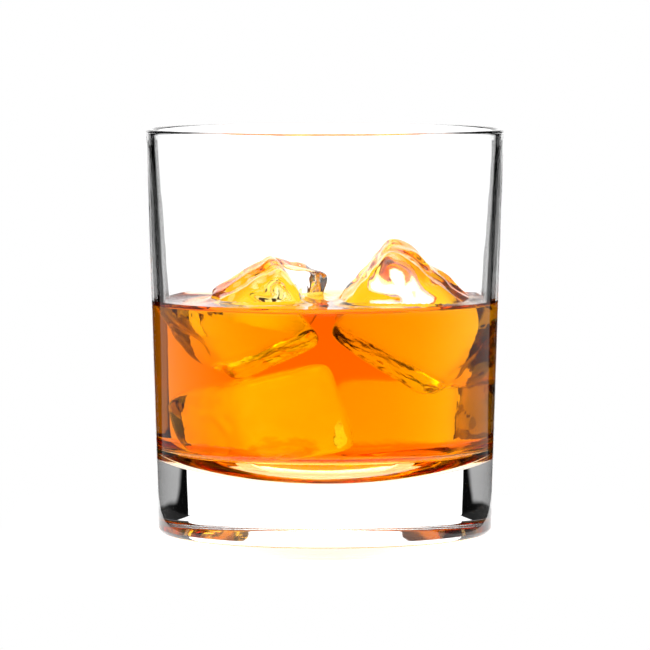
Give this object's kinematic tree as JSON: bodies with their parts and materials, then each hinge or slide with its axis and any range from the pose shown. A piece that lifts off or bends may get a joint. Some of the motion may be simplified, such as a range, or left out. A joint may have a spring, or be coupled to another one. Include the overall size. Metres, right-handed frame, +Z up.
{
  "type": "whisky on the rocks in a tumbler",
  "caption": "Straight-sided clear tumbler with a thick solid base, part filled with amber whisky, with melted ice cubes standing out of the drink.",
  "frame": {"origin": "on the axis of the glass, in the plane of the flat ring it stands on", "axes": "+Z up along the axis of the glass; +Y away from the front, which is the side the view looks at; +X to the right of that view"},
  "size_m": [0.082, 0.082, 0.0966],
  "materials": {
    "clear_glass": "smooth clear glass",
    "whisky": "clear amber liquid",
    "ice": "wet clear ice"
  },
  "bodies": {
    "root": {"glass": "clear_glass", "whisky": "whisky", "ice_left": "ice", "ice_right": "ice", "ice_rear": "ice"}
  },
  "joints": []
}
